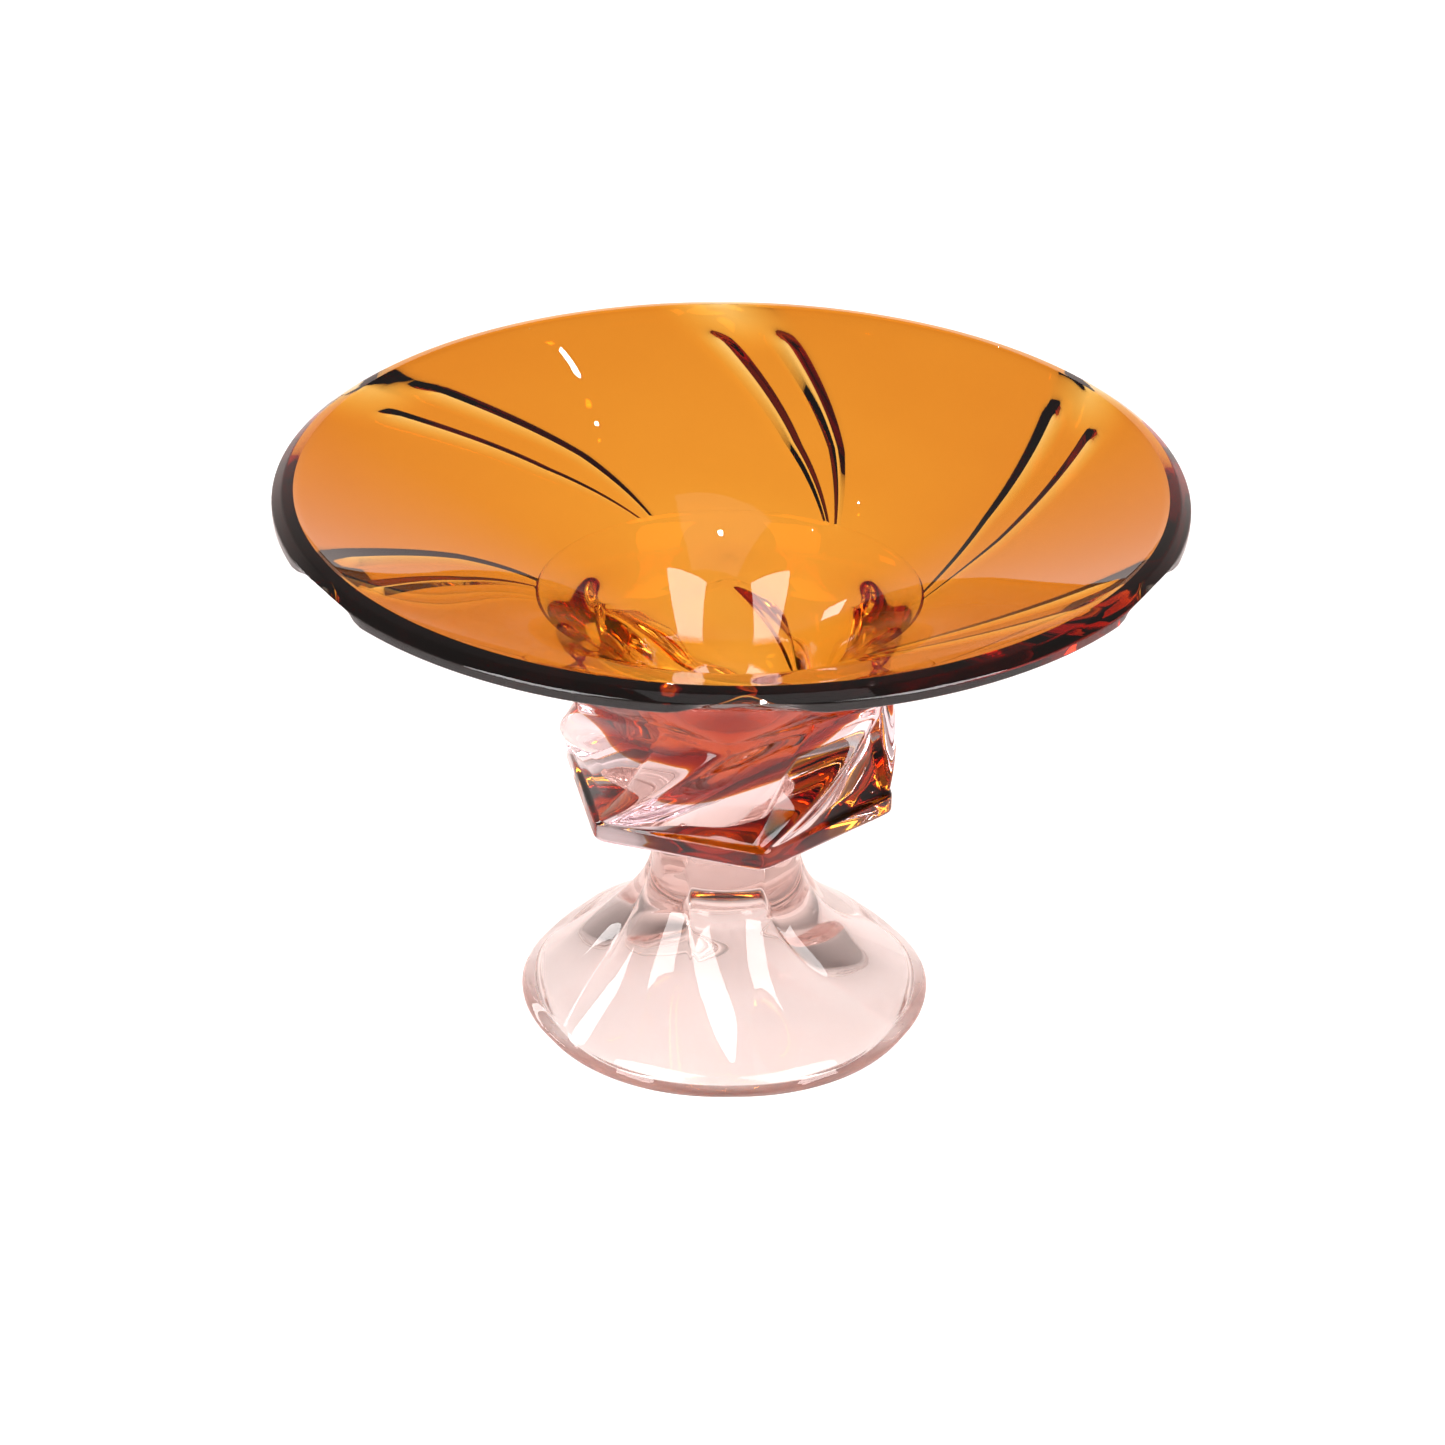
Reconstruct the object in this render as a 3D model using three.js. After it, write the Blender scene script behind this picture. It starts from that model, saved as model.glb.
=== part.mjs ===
// Footed centrepiece bowl in art glass: an amber bowl set in a clear six-sided block, on a clear
// swirled foot.  Millimetres, +Z up, origin on the table under the middle of the foot.
//
// Every piece is a turned form whose wall is then pressed by a six-part mould: a LatheGeometry gives
// the turned form, and each of its points is moved by the pressing.  All pressings repeat six times
// round the axis and lean the same way, like a slow screw.

import * as THREE from 'three';
import { mergeVertices } from 'three/addons/utils/BufferGeometryUtils.js';

// ---- Driving dimensions ---------------------------------------------------------------------

const RIM_RADIUS = 200;          // widest radius, at the outside of the lip
const BOWL_HEIGHT = 155.7;       // underside of the block to the top of the lip
const LIP_WIDTH = 9.6;           // polished face of the lip, inner edge to widest point
const LIP_SLANT = 2.8;           // how far that face falls from its inner edge to its outer edge
const LIP_DROP = 8.3;            // top of the lip down to its lower edge
const LIP_ROUND = 1.6;           // rounding of the lip's edges
const RIM_SLOPE = 27;            // degrees above level at which the wall meets the lip
const CUP_RADIUS = 40;           // round bottom of the inside
const CUP_SWEEP = 68;            // degrees of that round before the wall flares out
const CUP_WALL = 10;             // thickness of the amber glass in the cup
const RIM_WALL = 11.2;           // thickness of the amber glass just inside the lip
const BASE_GLASS = 12.4;         // clear glass under the amber cup

const CREASE_WIDTH = 16.5;       // each crease pressed in the outside, at its widest
const CREASE_DEPTH = 5;          // bottom of a crease below the wall's outside
const CREASE_SPREAD = 0.24;      // how fast a pair of creases parts, per millimetre outwards
const CREASE_START = 77;         // radius at which a pair of creases would meet
const CREASE_END = 187;          // radius at which the creases run out, short of the lip
const CREASE_FADE = 12;          // length over which they run out there
const CHANNEL_TURN = 43;         // degrees of lean per e-fold of radius
const NOTCH_HALF = 29;           // half of the width of each notch in the lip
const NOTCH_BITE = 4.5;          // how far a notch goes into the lip's outer edge
const NOTCH_LIFT = 4;            // how far a notch lifts the lip's lower edge

const BLOCK_FLAT = 68.4;         // centre to the flat sides of the six-sided block
const BLOCK_CORNER = 42.2;       // degrees of the block's first corner, at its underside
const BLOCK_TWIST = 48;          // degrees that the corners turn up the block
const BLOCK_PLINTH = 9;          // straight band round the bottom of the block
const PANEL_LEDGE = 1.6;         // how far the panels stand back from that band
const STEP_DEPTH = 5;            // step beside each corner
const STEP_START = 2.5;          // degrees that the step lies behind the corner, at the band
const STEP_LAG = 24;             // degrees that it falls further behind on the way up
const CASING_WALL = 8;           // clear glass over the amber where the block's sides turn out
const CASING_RADIUS = 94;        // where the clear casing ends under the wall
const CASING_EDGE = 1.2;         // clear glass left at that edge

const FOOT_HEIGHT = 108.2;       // table to the top of the neck
const FOOT_RADIUS = 95.4;        // widest radius of the foot
const NECK_RADIUS = 35.5;        // neck under the block
const FOOT_EDGE = 6.5;           // height of the foot's rounded edge
const FOOT_WALL = 8;             // glass at the foot's edge
const FOOT_LOBE = 8.5;           // how far the six lobes stand proud of the grooves
const FOOT_TURN = 32;            // degrees of lean per e-fold of radius
const FOOT_HOLLOW = 58;          // height of the hollow under the foot
const HOLLOW_NECK = 16;          // radius of the hollow below its rounded top
const CONTACT_WIDTH = 10;        // widest radius in to the hollow, where the foot stands

const BOND_THICKNESS = 0.4;      // film of clear adhesive between foot and block
const BOND_INSET = 1;            // film's edge inside the neck
const GLASS_GAP = 0.3;           // clearance between the amber glass and its clear casing

const SIDES = 6;
const NOTCH_ANGLE = 32;          // degrees of the first notch, in the lip and in the foot
const SEGMENTS = 72;             // round each turned form

// ---- Small helpers --------------------------------------------------------------------------

const radians = THREE.MathUtils.degToRad;
const { lerp, smoothstep } = THREE.MathUtils;

/** A list of count + 1 values of make(t), with t running from 0 to 1. */
function steps(count, make) {
  return Array.from({ length: count + 1 }, (_, i) => make(i / count));
}

/** Angle from the nearest of six equally spaced marks, in radians either side of it. */
function fromMark(angle, mark) {
  const pitch = (2 * Math.PI) / SIDES;
  const turns = (angle - mark) / pitch;
  return (turns - Math.round(turns)) * pitch;
}

/** Direction that a mark at the rim has reached at a smaller radius: a logarithmic spiral. */
function lean(markDegrees, degreesPerFold, outerRadius, radius) {
  return radians(markDegrees - degreesPerFold * Math.log(outerRadius / radius));
}

/**
 * Chooses the diagonal of every four-sided face.  On a wall that opens outwards it is the one that
 * leans with the channels, so that a casing splits as its glass does; elsewhere it is the shorter.
 */
function splitAlike(geometry) {
  const corner = (i) => new THREE.Vector3().fromBufferAttribute(geometry.attributes.position, i);
  const radius = (p) => Math.hypot(p.x, p.y);
  const index = geometry.index.array;
  for (let i = 0; i < index.length; i += 6) {
    const [a, b, d, c] = index.slice(i, i + 4);
    const [p, q, s, t] = [a, b, d, c].map(corner);
    const opening = radius(s) - radius(p);
    const shorter = p.distanceTo(t) < q.distanceTo(s);
    const turned = Math.abs(opening) > 1 ? opening < 0 : shorter;
    if (turned) index.set([a, b, c, c, d, a], i);
  }
}

/**
 * Turns a closed profile round +Z and presses it.  The profile is listed from the top of the axis,
 * outwards, and back to the bottom of the axis; a lathe wants it the other way up for faces that
 * point out.  Each station has r and z, and may have columns(turn), the direction of each of its
 * points; press(station, angle) gives its pressed [r, z] one way.
 */
function pressedGlass(topDown, press) {
  const stations = topDown.toReversed();
  const profile = stations.map((s) => new THREE.Vector2(s.r, s.z));
  const geometry = new THREE.LatheGeometry(profile, SEGMENTS);
  const position = geometry.attributes.position;
  for (let i = 0; i < position.count; i += 1) {
    const station = stations[i % stations.length];
    const turn = Math.floor(i / stations.length) % SEGMENTS;
    const angle = station.columns ? station.columns(turn) : (2 * Math.PI * turn) / SEGMENTS;
    const [r, z] = station.r === 0 ? [0, station.z] : press(station, angle);
    position.setXYZ(i, r * Math.cos(angle), r * Math.sin(angle), z);
  }
  splitAlike(geometry);
  geometry.deleteAttribute('normal');
  geometry.deleteAttribute('uv');
  const merged = mergeVertices(geometry, 1e-4);
  merged.computeVertexNormals();
  return merged;
}

function glassPiece(name, geometry, colour, roughness) {
  const material = new THREE.MeshStandardMaterial({ color: colour, roughness, metalness: 0 });
  const mesh = new THREE.Mesh(geometry, material);
  mesh.name = name;
  return mesh;
}

// ---- Heights that follow from the dimensions -------------------------------------------------

const blockBottom = FOOT_HEIGHT + BOND_THICKNESS;
const blockCorner = BLOCK_FLAT / Math.cos(Math.PI / SIDES);
const rimTop = blockBottom + BOWL_HEIGHT;
const insideBottom = blockBottom + BASE_GLASS + CUP_WALL;
const lipInnerRadius = RIM_RADIUS - LIP_WIDTH;

// ---- Amber bowl -----------------------------------------------------------------------------

/** The inside of the flare: one cubic curve from the round cup out to the lip. */
function flareCurve() {
  const sweep = radians(CUP_SWEEP);
  const heading = (angle) => new THREE.Vector2(Math.cos(angle), Math.sin(angle));
  const start = new THREE.Vector2(
    CUP_RADIUS * Math.sin(sweep),
    insideBottom + CUP_RADIUS * (1 - Math.cos(sweep)),
  );
  const end = new THREE.Vector2(lipInnerRadius, rimTop - LIP_ROUND * 0.2);
  const reach = start.distanceTo(end) / 3;
  const leave = start.clone().addScaledVector(heading(sweep), reach);
  const arrive = end.clone().addScaledVector(heading(radians(RIM_SLOPE)), -reach);
  return new THREE.CubicBezierCurve(start, leave, arrive, end);
}

const flare = flareCurve();

/** A station of the inside in the round cup, t from 0 at the axis to 1 where the flare begins. */
function cupStation(t) {
  const slope = t * radians(CUP_SWEEP);
  const r = CUP_RADIUS * Math.sin(slope);
  return { r, z: insideBottom + CUP_RADIUS * (1 - Math.cos(slope)), slope, wall: CUP_WALL };
}

/** A station of the inside on the flare, t from 0 at the cup to 1 at the lip. */
function flareStation(t) {
  const point = flare.getPoint(t);
  const tangent = flare.getTangent(t);
  const slope = Math.atan2(tangent.y, tangent.x);
  return { r: point.x, z: point.y, slope, wall: lerp(CUP_WALL, RIM_WALL, t) };
}

/** How much of its full size a crease has at a radius: nothing at the block, all in the flare. */
function creaseShare(radius) {
  const run = CREASE_END - CREASE_FADE - CREASE_START;
  return THREE.MathUtils.clamp((radius - CREASE_START) / run, 0, 1);
}

/** The outside of the wall, unpressed: a station of the inside moved out by the wall there. */
function outsideOf({ r, z, slope, wall }) {
  const outer = r + wall * Math.sin(slope);
  const fade = 1 - smoothstep(outer, CREASE_END - CREASE_FADE, CREASE_END);
  const depth = CREASE_DEPTH * fade * creaseShare(outer);
  return { r: outer, z: z - wall * Math.cos(slope), slope, depth };
}

/** Where along the flare its outside reaches a radius, found by halving. */
function flareShareAt(radius) {
  let low = 0;
  let high = 1;
  while (high - low > 1e-6) {
    const middle = (low + high) / 2;
    if (outsideOf(flareStation(middle)).r < radius) low = middle;
    else high = middle;
  }
  return low;
}

const casingShare = flareShareAt(CASING_RADIUS);
const inside = [
  ...steps(5, cupStation),
  ...steps(4, (t) => flareStation(t * casingShare)).slice(1),
  ...steps(9, (t) => flareStation(lerp(casingShare, 1, t))).slice(1),
];
const outside = inside.map(outsideOf);

/** Half of a crease's width at a radius; its depth keeps the same proportion. */
function creaseHalf(radius) {
  return (CREASE_WIDTH / 2) * Math.max(0.08, creaseShare(radius));
}

/** Distance of a crease from the middle of its channel, never less than the crease needs. */
function creaseSide(radius) {
  const spread = CREASE_SPREAD * Math.max(0, radius - CREASE_START);
  return Math.min(Math.max(spread, 1.2 * creaseHalf(radius) + 0.5), radius * 0.09);
}

/** Direction of the middle of the first channel at a radius. */
function channelMark(radius) {
  return lean(NOTCH_ANGLE, CHANNEL_TURN, RIM_RADIUS, Math.max(radius, CUP_RADIUS / 2));
}

/** Columns of the pressed wall: each channel's middle, both its creases, and the lobe beyond. */
function wallColumns(radius) {
  const pitch = (2 * Math.PI) / SIDES;
  const perSide = SEGMENTS / SIDES / 2;
  const crease = creaseSide(radius) / radius;
  const half = Math.min(creaseHalf(radius) / radius, crease * 0.8);
  const near = [0, crease - half, crease, crease + half];
  return (turn) => {
    const sector = Math.round(turn / (2 * perSide));
    const step = turn - sector * 2 * perSide;
    const count = Math.abs(step);
    const share = (count - 3) / (perSide - 3);
    const local = count < 4 ? near[count] : lerp(near[3], pitch / 2, share);
    return channelMark(radius) + sector * pitch + Math.sign(step) * local;
  };
}

/** 1 in the bottom of a crease, 0 at its sides. */
function crease(radius, angle) {
  const middle = Math.abs(fromMark(angle, channelMark(radius))) * radius;
  return Math.max(0, 1 - Math.abs(middle - creaseSide(radius)) / creaseHalf(radius));
}

/** 1 in the middle of a notch in the lip, 0 at its sides. */
function notch(angle) {
  const across = Math.abs(fromMark(angle, channelMark(RIM_RADIUS))) * RIM_RADIUS;
  return Math.max(0, 1 - across / NOTCH_HALF);
}

/** Moves a station of the amber outside into the glass where a crease is pressed. */
function pressOutside(station, angle) {
  const bite = station.depth * crease(station.r, angle);
  return [station.r - bite * Math.sin(station.slope), station.z + bite * Math.cos(station.slope)];
}

function amberBowl() {
  const faceEnd = rimTop - LIP_SLANT;
  const lip = [
    { r: lipInnerRadius + LIP_ROUND * 0.4, z: rimTop, bite: 0 },
    { r: RIM_RADIUS - LIP_ROUND, z: faceEnd, bite: 0 },
    { r: RIM_RADIUS, z: faceEnd - LIP_ROUND, bite: 0.2 },
    { r: RIM_RADIUS, z: rimTop - LIP_DROP, bite: 1 },
  ];
  const stations = [...inside.map((s) => ({ ...s, bite: 0 })), ...lip, ...outside.toReversed()];
  const columned = stations.map((s) => ({ ...s, columns: wallColumns(Math.max(s.r, 1)) }));
  const geometry = pressedGlass(columned, (s, angle) => {
    if (s.depth !== undefined) return pressOutside(s, angle);
    const vee = s.bite * notch(angle);
    return [s.r - NOTCH_BITE * vee, s.z + NOTCH_LIFT * vee];
  });
  return glassPiece('amber_bowl', geometry, 0xc47518, 0.03);
}

// ---- Clear block with its casing ------------------------------------------------------------

/** Distance to the side of a hexagon with slightly rounded corners, one of them at a mark. */
function hexagon(flat, angle, corner) {
  const sharpness = 40;
  let sum = 0;
  for (let side = 0; side < SIDES; side += 1) {
    const facing = corner + ((side + 0.5) * 2 * Math.PI) / SIDES;
    sum += Math.max(0, Math.cos(angle - facing)) ** sharpness;
  }
  return flat * sum ** (-1 / sharpness);
}

/** The casing lies under the amber wall, from the axis out to CASING_RADIUS, one gap below it. */
const socket = outside.filter((s) => s.r < CASING_RADIUS + GLASS_GAP).map((s) => ({
  ...s,
  r: s.r + GLASS_GAP * Math.sin(s.slope),
  z: s.z - GLASS_GAP * Math.cos(s.slope),
  follows: s,
  columns: wallColumns(Math.max(s.r, 1)),
}));

/** Moves a station of the socket with the amber glass that it holds. */
function pressSocket(station, angle) {
  const [r, z] = pressOutside(station.follows, angle);
  return [r + station.r - station.follows.r, z + station.z - station.follows.z];
}

/** Underside of the casing: the socket moved down by a clear wall that thins towards its edge. */
const casing = socket.map((s) => {
  const share = smoothstep(s.r, BLOCK_FLAT - CASING_WALL, CASING_RADIUS);
  const wall = lerp(CASING_WALL, CASING_EDGE, share);
  return {
    r: s.r + wall * Math.sin(s.slope),
    z: s.z - wall * Math.cos(s.slope),
    square: 1 - share,
  };
}).filter((s) => s.r > BLOCK_FLAT);

const twistBottom = blockBottom + BLOCK_PLINTH;
const twistTop = casing[0].z - BLOCK_PLINTH / 2;

/** How far up the turned part of the block a height is, 0 to 1. */
function riseAt(z) {
  return THREE.MathUtils.clamp((z - twistBottom) / (twistTop - twistBottom), 0, 1);
}

/** The block's corner at a height, and how far behind it its step lies, in radians. */
function cornerAt(z) {
  const rise = riseAt(z);
  return {
    corner: radians(BLOCK_CORNER + BLOCK_TWIST * rise),
    lag: radians(STEP_START + STEP_LAG * rise),
  };
}

/** Columns of the block: in each sector, a corner, the panel after it, and the next step's face. */
function blockColumns(z) {
  const { corner, lag } = cornerAt(z);
  const pitch = (2 * Math.PI) / SIDES;
  const perSector = SEGMENTS / SIDES;
  const face = 3;
  return (turn) => {
    const column = turn - columnShift;
    const sector = Math.floor(column / perSector);
    const step = column - sector * perSector;
    const panel = perSector - face;
    const local = step < panel
      ? (step / panel) * (pitch - lag)
      : pitch - lag + ((step - panel) / face) * lag;
    return corner + sector * pitch + local;
  };
}

/** The socket's first column points at a channel; this many later, one points at a corner. */
const turned = radians(BLOCK_CORNER + BLOCK_TWIST) - channelMark(CASING_RADIUS);
const columnShift = Math.round((turned * SEGMENTS) / (2 * Math.PI));

/** The block's side at a height: straight band, then panels that turn, each ending in a step. */
function blockSide(flat, z, angle) {
  const { corner, lag } = cornerAt(z);
  const pitch = (2 * Math.PI) / SIDES;
  const past = THREE.MathUtils.euclideanModulo(angle - corner + 1e-6, pitch);
  const fall = Math.min(1, past / (pitch - lag));
  const climb = Math.max(0, (past - pitch + lag) / lag);
  const step = STEP_DEPTH * Math.min(1, 3 * riseAt(z)) * (fall ** 2.2 * (1 - climb) ** 1.6);
  const fade = 1 - smoothstep(z, twistTop - BLOCK_PLINTH, twistTop + BLOCK_PLINTH * 2);
  const ledge = PANEL_LEDGE * smoothstep(z, twistBottom - 1, twistBottom + 2);
  return hexagon(flat, angle, corner) - fade * (ledge + step);
}

function crystalBlock() {
  const heights = [
    ...steps(7, (t) => lerp(twistTop, twistBottom + 2, t)),
    twistBottom - 1,
  ];
  const side = heights.map((z) => ({ r: BLOCK_FLAT, z, square: 1 }));
  const stations = [
    ...casing.toReversed(),
    ...side,
    { r: BLOCK_FLAT, z: blockBottom + 2, square: 1 },
    { r: BLOCK_FLAT - 1.5, z: blockBottom, square: 1 },
    { r: NECK_RADIUS, z: blockBottom, square: 0 },
    { r: 0, z: blockBottom },
  ].map((s) => ({ ...s, columns: blockColumns(s.z) }));
  const geometry = pressedGlass([...socket, ...stations], (s, angle) => {
    if (s.follows) return pressSocket(s, angle);
    return [lerp(s.r, blockSide(s.r, s.z, angle), s.square), s.z];
  });
  return glassPiece('crystal_block', geometry, 0xe9dedb, 0.02);
}

// ---- Adhesive film --------------------------------------------------------------------------

function bondFilm() {
  const radius = NECK_RADIUS - BOND_INSET;
  const stations = [
    { r: 0, z: blockBottom },
    { r: radius, z: blockBottom },
    { r: radius, z: FOOT_HEIGHT },
    { r: 0, z: FOOT_HEIGHT },
  ];
  const geometry = pressedGlass(stations, (s) => [s.r, s.z]);
  return glassPiece('bond_film', geometry, 0xf2f0ee, 0.1);
}

// ---- Swirled foot ---------------------------------------------------------------------------

/** 1 in the bottom of a foot groove, falling away over the lobes either side. */
function footGroove(radius, angle) {
  const mark = lean(NOTCH_ANGLE, FOOT_TURN, FOOT_RADIUS, radius);
  const share = Math.abs(fromMark(angle, mark)) / (Math.PI / SIDES);
  return (1 - share) ** 1.35;
}

function crystalFoot() {
  const neck = new THREE.Vector2(NECK_RADIUS, FOOT_HEIGHT * 0.72);
  const brim = new THREE.Vector2(FOOT_RADIUS - 2, FOOT_EDGE);
  const turn = new THREE.Vector2(NECK_RADIUS, FOOT_HEIGHT * 0.45);
  const spread = new THREE.Vector2(FOOT_RADIUS * 0.62, FOOT_EDGE + FOOT_WALL * 3.1);
  const flank = new THREE.CubicBezierCurve(neck, turn, spread, brim).getPoints(10);
  const outer = flank.map((p) => ({
    r: p.x,
    z: p.y,
    lobe: lerp(0.28, 1, smoothstep(p.x, NECK_RADIUS, FOOT_RADIUS * 0.7)),
  }));
  const ringInside = FOOT_RADIUS - CONTACT_WIDTH;
  const crown = new THREE.Vector2(HOLLOW_NECK, FOOT_HOLLOW - HOLLOW_NECK);
  const opening = new THREE.CubicBezierCurve(
    new THREE.Vector2(ringInside - 2, 3),
    new THREE.Vector2(ringInside * 0.61, FOOT_EDGE + FOOT_WALL * 1.9),
    new THREE.Vector2(HOLLOW_NECK + 3, FOOT_HOLLOW * 0.59),
    crown,
  ).getPoints(8);
  const hollow = [
    ...opening.map((p) => ({ r: p.x, z: p.y, lobe: 0 })),
    ...steps(3, (t) => ({
      r: HOLLOW_NECK * Math.cos((t * Math.PI) / 2),
      z: crown.y + HOLLOW_NECK * Math.sin((t * Math.PI) / 2),
      lobe: 0,
    })).slice(1),
  ];
  hollow.at(-1).r = 0;
  const stations = [
    { r: 0, z: FOOT_HEIGHT },
    { r: NECK_RADIUS, z: FOOT_HEIGHT, lobe: 0 },
    ...outer,
    { r: FOOT_RADIUS, z: FOOT_EDGE * 0.5, lobe: 0.4 },
    { r: FOOT_RADIUS - 1.2, z: 0, lobe: 0.25 },
    { r: ringInside, z: 0, lobe: 0 },
    ...hollow,
  ];
  const geometry = pressedGlass(stations, (s, angle) => {
    return [s.r - FOOT_LOBE * s.lobe * footGroove(s.r, angle), s.z];
  });
  return glassPiece('crystal_foot', geometry, 0xe9dedb, 0.02);
}

// ---- The whole bowl -------------------------------------------------------------------------

const group = new THREE.Group();
group.add(amberBowl());
group.add(crystalBlock());
group.add(bondFilm());
group.add(crystalFoot());

export default group;
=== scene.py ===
# %% [markdown]
# # A footed bowl in amber and clear glass
#
# The object is three pieces of heavy pressed glass and a film of adhesive: a flared amber bowl,
# the clear twisted block that it sits in, and a clear swirled foot. Everything here is a surface of
# revolution that a six-part mould has pressed, so each piece can be written as one formula: a
# profile, turned round the axis, with a small push that depends on the angle.
#
# The lesson builds each surface with numpy on a grid, then spends its effort on the glass itself,
# because clear things are seen only through what they bend, tint and mirror.

# %% Load the frame
import math

import bpy
import numpy as np
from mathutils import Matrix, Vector


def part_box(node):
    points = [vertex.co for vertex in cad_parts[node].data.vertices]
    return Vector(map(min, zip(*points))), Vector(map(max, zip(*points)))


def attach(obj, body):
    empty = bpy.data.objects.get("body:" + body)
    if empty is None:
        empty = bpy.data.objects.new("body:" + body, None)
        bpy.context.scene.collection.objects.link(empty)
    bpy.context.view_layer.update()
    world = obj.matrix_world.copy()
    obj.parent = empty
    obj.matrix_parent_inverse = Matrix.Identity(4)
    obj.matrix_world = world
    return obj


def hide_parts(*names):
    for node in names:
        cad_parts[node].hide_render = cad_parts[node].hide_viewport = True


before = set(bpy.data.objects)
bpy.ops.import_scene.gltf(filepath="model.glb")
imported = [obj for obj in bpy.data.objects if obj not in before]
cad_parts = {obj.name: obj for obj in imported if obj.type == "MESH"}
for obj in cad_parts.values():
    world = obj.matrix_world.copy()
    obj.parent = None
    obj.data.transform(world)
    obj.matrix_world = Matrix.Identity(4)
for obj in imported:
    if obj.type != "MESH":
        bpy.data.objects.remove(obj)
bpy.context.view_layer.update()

# %% [markdown]
# ## Camera first
#
# A long lens from above the table keeps the rim a calm ellipse. The camera stands one and a half
# metres in front of the bowl, nearly a metre up, and is tipped very slightly to one side, as a
# camera on a tripod often is. Its aim is a rotation about the sensor's own axes, so the order of
# turning is roll first, then tilt.

# %% Camera
CAMERA_PLACE = (-0.0025, -1.4995, 0.983)
CAMERA_TILT = math.radians(90 - 29.32)
CAMERA_ROLL = math.radians(0.79)
SENSOR = 36.0
LENS = 94.8

camera = bpy.data.objects.new("camera", bpy.data.cameras.new("camera"))
bpy.context.scene.collection.objects.link(camera)
camera.data.sensor_width = SENSOR
camera.data.lens = LENS
camera.location = CAMERA_PLACE
camera.rotation_mode = "ZYX"
camera.rotation_euler = (CAMERA_TILT, 0.0, CAMERA_ROLL)
bpy.context.scene.camera = camera
print("camera at", CAMERA_PLACE, "lens", LENS)

# %% [markdown]
# ## Sizes
#
# The places of the pieces come from the frame. The thicknesses, slopes and depths of pressing that
# shape them are named here, in metres and degrees, beside the piece that they belong to.

# %% Places from the frame
bowl_low, bowl_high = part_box("amber_bowl")
block_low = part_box("crystal_block")[0]
film_low, film_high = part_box("bond_film")
foot_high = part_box("crystal_foot")[1]

RIM_RADIUS = bowl_high.x
RIM_TOP = bowl_high.z
CUP_BOTTOM = bowl_low.z
BLOCK_BOTTOM = block_low.z
FOOT_TOP = foot_high.z
FOOT_RADIUS = foot_high.x
BOND_RADIUS = film_high.x
print("rim", RIM_RADIUS, RIM_TOP, "block", BLOCK_BOTTOM, "foot", FOOT_RADIUS, FOOT_TOP)

# %% [markdown]
# ## Sizes of the glass
#
# A pressed piece is described by a few honest numbers: walls, depths of pressing, and the lean of
# its swirl in degrees for each e-fold of radius. They are kept together so that a wall and the
# pressing in it can be compared at a glance, because no pressing may be deeper than its wall.

# %% Sizes of the glass
SIDES = 6
PITCH = 2 * math.pi / SIDES
NOTCH_ANGLE = math.radians(32)

CUP_WALL = 0.010
RIM_WALL = 0.0112
CUP_RADIUS = 0.040
CUP_SWEEP = math.radians(68)
RIM_SLOPE = math.radians(27)
LIP_WIDTH = 0.0096
LIP_SLANT = 0.0028
LIP_DROP = 0.0083

CHANNEL_LEAN = math.radians(43)
CHANNEL_START = 0.077
CHANNEL_SPREAD = 0.24
CREASE_WIDTH = 0.0165
CREASE_DEPTH = 0.0063
CREASE_END = 0.187
CREASE_FADE = 0.012
CREASE_RUN_IN = 0.004
NOTCH_HALF = 0.029
NOTCH_BITE = 0.0066
NOTCH_LIFT = 0.0058
NOTCH_START = 0.172
FUSED_GAP = 0.00015

BLOCK_FLAT = 0.0684
BLOCK_CORNER = math.radians(42.2)
BLOCK_TWIST = math.radians(48)
BLOCK_PLINTH = 0.009
CASING_WALL = 0.008
CASING_RADIUS = 0.090
CASING_EDGE = 0.00006

NECK_RADIUS = 0.0355
FOOT_EDGE = 0.0065
FOOT_WALL = 0.008
FOOT_LOBE = 0.0085
FOOT_LEAN = math.radians(32)
HOLLOW_NECK = 0.016
HOLLOW_TOP = 0.058
HOLLOW_CAP = 0.016
CONTACT_WIDTH = 0.005

# %% [markdown]
# ## Tools for turned and pressed surfaces
#
# A pressed piece is a grid of points: one row for each station of the profile and one column for
# each direction round the axis. The first and last stations lie on the axis, where a row shrinks to
# one point. Columns are crowded where a channel's walls are steep and spread out over the broad
# lobes, and they lean with the channels, so that the steep walls run along the grid.

# %% Helpers
def ease(x, low, high):
    """0 below low, 1 above high, and the cubic 3t^2 - 2t^3 between."""
    t = np.clip((x - low) / (high - low), 0, 1)
    return t * t * (3 - 2 * t)


def mix(a, b, t):
    """Straight line from a to b."""
    return a + (b - a) * t


def from_mark(angle, mark):
    """Signed angle from the nearest of the six marks."""
    turns = (angle - mark) / PITCH
    return (turns - np.round(turns)) * PITCH


def leaned(radius, outer, rate, least=0.02):
    """Turn of a logarithmic spiral: rate times the logarithm of outer over radius."""
    return -rate * np.log(outer / np.maximum(radius, least))


def cubic(points, t):
    """Bezier curve through four control points, and its direction angle."""
    p = np.asarray(points, float)[:, None, :]
    s = t[:, None]
    ends = (1 - s) ** 3 * p[0] + s**3 * p[3]
    place = ends + 3 * (1 - s) ** 2 * s * p[1] + 3 * (1 - s) * s**2 * p[2]
    step = (1 - s) ** 2 * (p[1] - p[0]) + 2 * (1 - s) * s * (p[2] - p[1]) + s**2 * (p[3] - p[2])
    return place, np.arctan2(step[:, 1], step[:, 0])


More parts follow.
